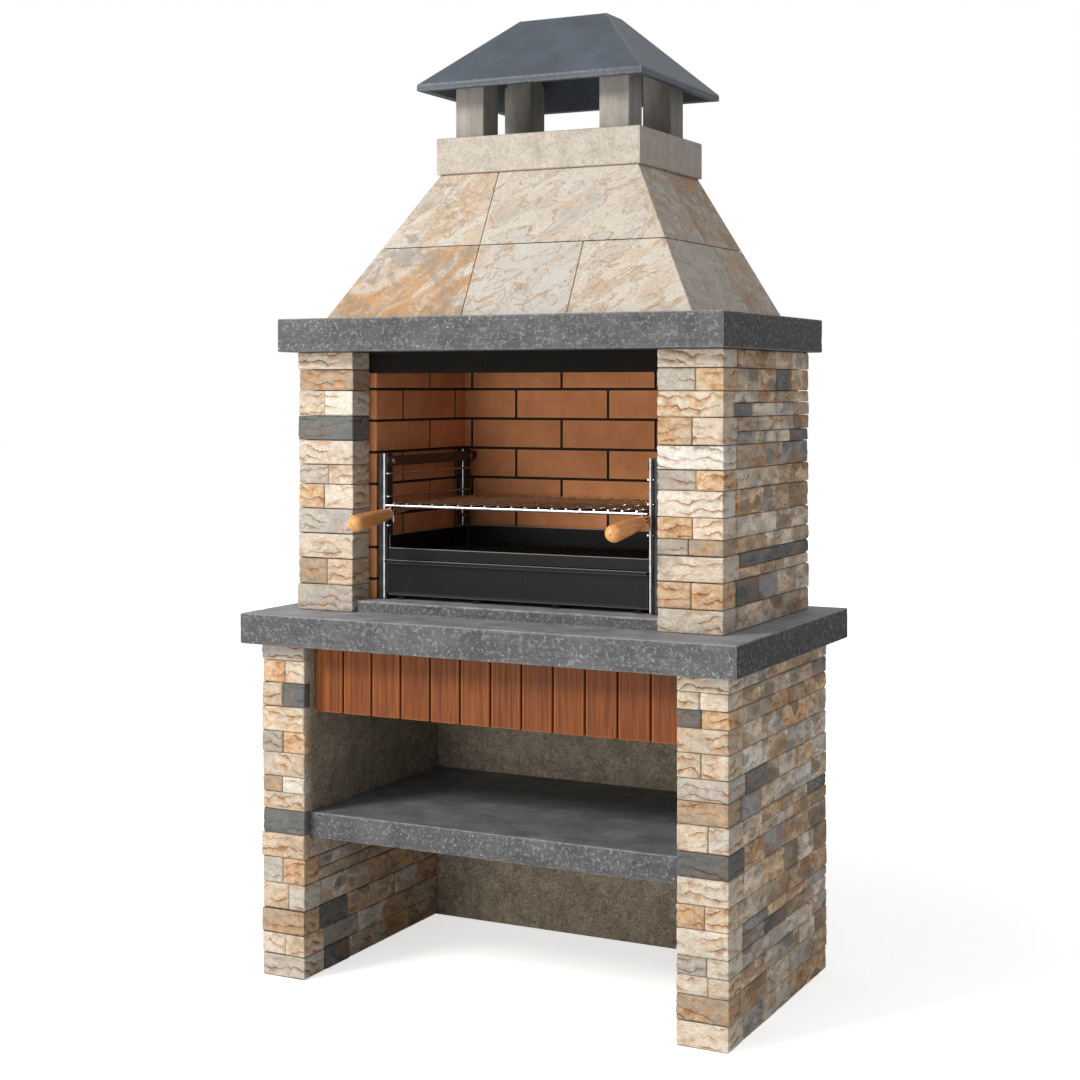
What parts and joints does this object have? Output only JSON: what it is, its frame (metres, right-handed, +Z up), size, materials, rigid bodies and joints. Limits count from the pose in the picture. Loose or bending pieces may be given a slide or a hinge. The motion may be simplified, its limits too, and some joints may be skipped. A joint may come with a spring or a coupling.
{
  "type": "masonry barbecue",
  "caption": "Stone-clad garden barbecue with worktop, shelf, firebrick chamber, sliding grill, ash drawer, smoke hood and capped chimney.",
  "frame": {"origin": "on the floor under the middle of the worktop slab", "axes": "+Z up the chimney, +X to the right of the cook who faces the fire, +Y from the cook to the back"},
  "size_m": [1.25, 0.75, 2.293],
  "materials": {
    "cast_slab": "charcoal cast stone with pale flecks, brushed top",
    "split_stone": "split-face stone in cream, ochre and grey, rough",
    "render": "grey-beige cast concrete, rough",
    "firebrick": "terracotta firebrick, matt",
    "fire_mortar": "dark raked mortar, matt",
    "teak": "oiled orange-brown boards, satin",
    "rail_wood": "plain brown wood, matt",
    "zinc_bracket": "zinc-plated steel",
    "black_steel": "black stove paint, matt",
    "rack_steel": "dark brown-black heat-tinted steel",
    "strap_steel": "brown heat-tinted flat steel",
    "chrome_wire": "bright chrome-plated wire",
    "cast_grate": "rough black cast iron",
    "hood_cast": "beige cast concrete, rough",
    "hood_tile": "honed veined quartzite in cream, grey and ochre",
    "collar_cast": "beige cast concrete with small pits",
    "cap_leg": "grey cast concrete",
    "cap_slate": "slate blue-grey smooth concrete",
    "foot_pad": "black heat-resistant pads",
    "beech": "turned and varnished beech"
  },
  "bodies": {
    "masonry": {"worktop_slab": "cast_slab", "hearth_slab": "cast_slab", "shelf_slab": "cast_slab", "lower_back_panel": "render", "lower_left_core": "render", "lower_right_core": "render", "lower_left_stones": "split_stone", "lower_right_stones": "split_stone", "fascia_slats": "teak", "fascia_rail": "rail_wood", "fascia_brackets": "zinc_bracket", "upper_left_core": "render", "upper_right_core": "render", "upper_back_core": "render", "upper_left_stones": "split_stone", "upper_right_stones": "split_stone", "firebrick_left": "firebrick", "firebrick_right": "firebrick", "firebrick_back": "firebrick", "fire_mortar": "fire_mortar", "smoke_lintel": "black_steel", "mantel_slab": "cast_slab", "hood_body": "hood_cast", "hood_front_tiles": "hood_tile", "hood_left_tiles": "hood_tile", "hood_right_tiles": "hood_tile", "chimney_collar": "collar_cast", "cap_legs": "cap_leg", "cap_roof": "cap_slate", "rack_posts": "rack_steel", "rack_spacers": "chrome_wire", "rack_rods": "chrome_wire", "rack_straps": "strap_steel", "rack_rungs": "chrome_wire", "rack_bolts": "chrome_wire", "firebox_casing": "black_steel", "firebox_feet": "foot_pad", "charcoal_tray": "black_steel"},
    "grill": {"grill_grate": "chrome_wire", "left_handle": "beech", "right_handle": "beech"},
    "charcoal_grate": {"charcoal_grate": "cast_grate"},
    "ash_drawer": {"drawer_box": "black_steel", "drawer_front": "black_steel"}
  },
  "joints": [
    {"name": "grill_slide", "type": "slide", "parent": "masonry", "child": "grill", "axis": [0, -1, 0], "range_m": [0, 0.3]},
    {"name": "ash_drawer_slide", "type": "slide", "parent": "masonry", "child": "ash_drawer", "axis": [0, -1, 0], "range_m": [0, 0.28]},
    {"name": "charcoal_grate_lift", "type": "slide", "parent": "masonry", "child": "charcoal_grate", "axis": [0, 0, 1], "range_m": [0, 0.08]}
  ]
}
